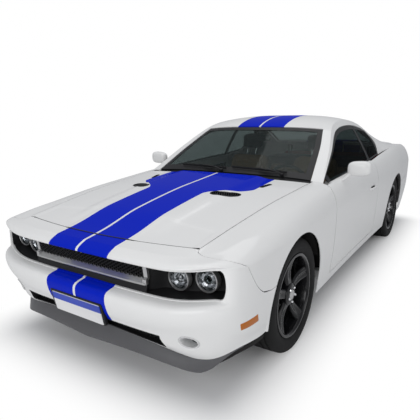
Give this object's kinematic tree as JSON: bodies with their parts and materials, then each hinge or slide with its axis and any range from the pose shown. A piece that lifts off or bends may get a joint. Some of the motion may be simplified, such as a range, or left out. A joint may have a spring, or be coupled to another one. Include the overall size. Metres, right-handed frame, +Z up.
{
  "type": "muscle car coupe",
  "caption": "Two-door muscle car coupe with long hood, wide grille mouth with round headlamps, twin stripes, opening doors, hood and decklid, and steered, rolling wheels.",
  "frame": {"origin": "on the ground under the middle of the car", "axes": "+X forward to the nose, +Y to the left of the car, +Z up"},
  "size_m": [5.0222, 2.1828, 1.4492],
  "materials": {
    "pearl": "pearl white gloss paint with two blue stripes",
    "frame": "satin dark coating",
    "engine": "cast",
    "knuckle": "machined casting",
    "exhaust": "brushed",
    "chin": "satin grey",
    "trim": "black",
    "lamps": "bright reflectors behind clear lenses",
    "amber": "amber lens",
    "plate": "blank",
    "glass": "tinted",
    "tail": "red lens",
    "dash": "soft grain",
    "seats": "tan leather",
    "rims": "gloss black",
    "tyres": "rubber"
  },
  "bodies": {
    "chassis": {"body_frame": "frame", "engine_block": "engine", "front_suspension": "frame", "rear_suspension": "frame", "exhaust": "exhaust", "front_bumper": "pearl", "chin_spoiler": "chin", "grille_panel": "trim", "grille_insert": "trim", "front_lamps": "lamps", "side_markers": "amber", "number_plate": "plate", "front_fenders": "pearl", "rear_quarters": "pearl", "sills": "pearl", "roof_and_pillars": "pearl", "windshield": "glass", "rear_window": "glass", "quarter_glass": "glass", "rear_bumper": "pearl", "tail_lamps": "tail", "cowl_panel": "trim", "dashboard": "dash", "steering_wheel": "dash", "front_seats": "seats", "rear_seat": "seats", "arch_liners": "trim"},
    "knuckle_left": {"knuckle_left": "knuckle"},
    "knuckle_right": {"knuckle_right": "knuckle"},
    "front_left_wheel": {"wheel_front_left": "rims", "tyre_front_left": "tyres"},
    "front_right_wheel": {"wheel_front_right": "rims", "tyre_front_right": "tyres"},
    "rear_left_wheel": {"wheel_rear_left": "rims", "tyre_rear_left": "tyres"},
    "rear_right_wheel": {"wheel_rear_right": "rims", "tyre_rear_right": "tyres"},
    "left_door": {"door_left": "pearl", "door_glass_left": "glass", "mirror_left": "pearl"},
    "right_door": {"door_right": "pearl", "door_glass_right": "glass", "mirror_right": "pearl"},
    "front_lid": {"hood": "pearl"},
    "rear_lid": {"decklid": "pearl"}
  },
  "joints": [
    {"name": "steer_left", "type": "hinge", "parent": "chassis", "child": "knuckle_left", "pos_m": [1.5665, 0.708, 0.364], "axis": [0, 0, 1], "range_deg": [-33, 33]},
    {"name": "steer_right", "type": "hinge", "parent": "chassis", "child": "knuckle_right", "pos_m": [1.5665, -0.708, 0.364], "axis": [0, 0, 1], "range_deg": [-33, 33]},
    {"name": "spin_front_left", "type": "hinge", "parent": "knuckle_left", "child": "front_left_wheel", "pos_m": [1.5665, 0.8, 0.364], "axis": [0, 1, 0], "continuous": true},
    {"name": "spin_front_right", "type": "hinge", "parent": "knuckle_right", "child": "front_right_wheel", "pos_m": [1.5665, -0.8, 0.364], "axis": [0, 1, 0], "continuous": true},
    {"name": "spin_rear_left", "type": "hinge", "parent": "chassis", "child": "rear_left_wheel", "pos_m": [-1.3795, 0.8, 0.364], "axis": [0, 1, 0], "continuous": true},
    {"name": "spin_rear_right", "type": "hinge", "parent": "chassis", "child": "rear_right_wheel", "pos_m": [-1.3795, -0.8, 0.364], "axis": [0, 1, 0], "continuous": true},
    {"name": "open_left_door", "type": "hinge", "parent": "chassis", "child": "left_door", "pos_m": [0.80437, 0.89592, 0.364], "axis": [0, 0, -1], "range_deg": [0, 65]},
    {"name": "open_right_door", "type": "hinge", "parent": "chassis", "child": "right_door", "pos_m": [0.80437, -0.89592, 0.364], "axis": [0, 0, 1], "range_deg": [0, 65]},
    {"name": "open_hood", "type": "hinge", "parent": "chassis", "child": "front_lid", "pos_m": [0.99243, 0, 0.93409], "axis": [0, -1, 0], "range_deg": [0, 55]},
    {"name": "open_decklid", "type": "hinge", "parent": "chassis", "child": "rear_lid", "pos_m": [-1.75141, 0, 1.03297], "axis": [0, 1, 0], "range_deg": [0, 55]}
  ],
  "couplings": [
    {"joint": "steer_right", "follows": "steer_left", "ratio": 1}
  ]
}
